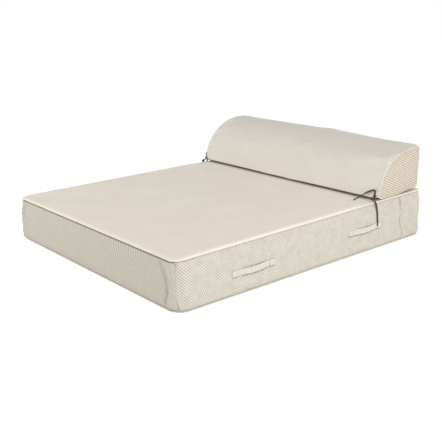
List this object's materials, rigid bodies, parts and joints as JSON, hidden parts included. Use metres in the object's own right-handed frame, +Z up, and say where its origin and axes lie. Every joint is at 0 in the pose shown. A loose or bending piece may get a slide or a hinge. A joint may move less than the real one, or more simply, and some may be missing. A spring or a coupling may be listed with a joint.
{
  "type": "foam sun lounger",
  "caption": "Wide foam sun lounger: a boxed foam mattress with a quarter-round foam bolster tied across its head end, webbing carry handles and zipped fabric covers.",
  "frame": {"origin": "on the floor, under the middle of the mattress", "axes": "+Z up, +Y toward the head end with the bolster, +X to the right of someone lying on the back"},
  "size_m": [1.6526, 2.0259, 0.6053],
  "materials": {
    "smooth_cloth": "smooth cream outdoor cloth",
    "woven_cloth": "coarse woven cream cloth",
    "foam": "open-cell foam, hidden by the covers",
    "webbing": "flat cream webbing",
    "tie_tape": "dark brown cotton tape",
    "zip_tape": "grey-beige zip tape with a coil",
    "zip_metal": "nickel-plated metal"
  },
  "bodies": {
    "mattress": {"mattress_foam_core": "foam", "mattress_top_panel": "smooth_cloth", "mattress_bottom_panel": "smooth_cloth", "mattress_right_band": "woven_cloth", "mattress_left_band": "woven_cloth", "mattress_foot_band": "woven_cloth", "mattress_rear_band": "woven_cloth", "mattress_zip_upper_tape": "zip_tape", "mattress_zip_lower_tape": "zip_tape", "handle_right_foot": "webbing", "handle_right_head": "webbing", "handle_left_foot": "webbing", "handle_left_head": "webbing", "tie_knot_right": "tie_tape", "tie_knot_left": "tie_tape", "tie_tab_right": "smooth_cloth", "tie_tab_left": "smooth_cloth", "tie_tail_right": "tie_tape", "tie_tail_left": "tie_tape", "tie_end_right": "tie_tape", "tie_end_left": "tie_tape"},
    "bolster": {"bolster_foam_core": "foam", "bolster_curved_panel": "smooth_cloth", "bolster_back_panel": "smooth_cloth", "bolster_bottom_panel": "smooth_cloth", "bolster_right_end": "woven_cloth", "bolster_left_end": "woven_cloth", "bolster_zip_upper_tape": "zip_tape", "bolster_zip_lower_tape": "zip_tape", "tie_loop_right": "tie_tape", "tie_loop_left": "tie_tape", "bolster_tie_tape_right": "tie_tape", "bolster_tie_tape_left": "tie_tape"},
    "mattress_slider": {"mattress_zip_slider": "zip_metal"},
    "mattress_pull": {"mattress_zip_pull": "zip_metal"},
    "bolster_slider": {"bolster_zip_slider": "zip_metal"},
    "bolster_pull": {"bolster_zip_pull": "zip_metal"}
  },
  "joints": [
    {"name": "bolster_tip", "type": "hinge", "parent": "mattress", "child": "bolster", "pos_m": [0, 0.5, 0.3028], "axis": [1, 0, 0], "range_deg": [0, 90]},
    {"name": "mattress_zip_slide", "type": "slide", "parent": "mattress", "child": "mattress_slider", "axis": [1, 0, 0], "range_m": [0, 1.35]},
    {"name": "mattress_pull_swing", "type": "hinge", "parent": "mattress_slider", "child": "mattress_pull", "pos_m": [-0.675, 1.0133, 0.13693], "axis": [0, 0, 1], "range_deg": [0, 175]},
    {"name": "bolster_zip_slide", "type": "slide", "parent": "bolster", "child": "bolster_slider", "axis": [1, 0, 0], "range_m": [0, 1.35]},
    {"name": "bolster_pull_swing", "type": "hinge", "parent": "bolster_slider", "child": "bolster_pull", "pos_m": [-0.675, 0.9513, 0.40457], "axis": [0, 0, 1], "range_deg": [0, 175]}
  ]
}
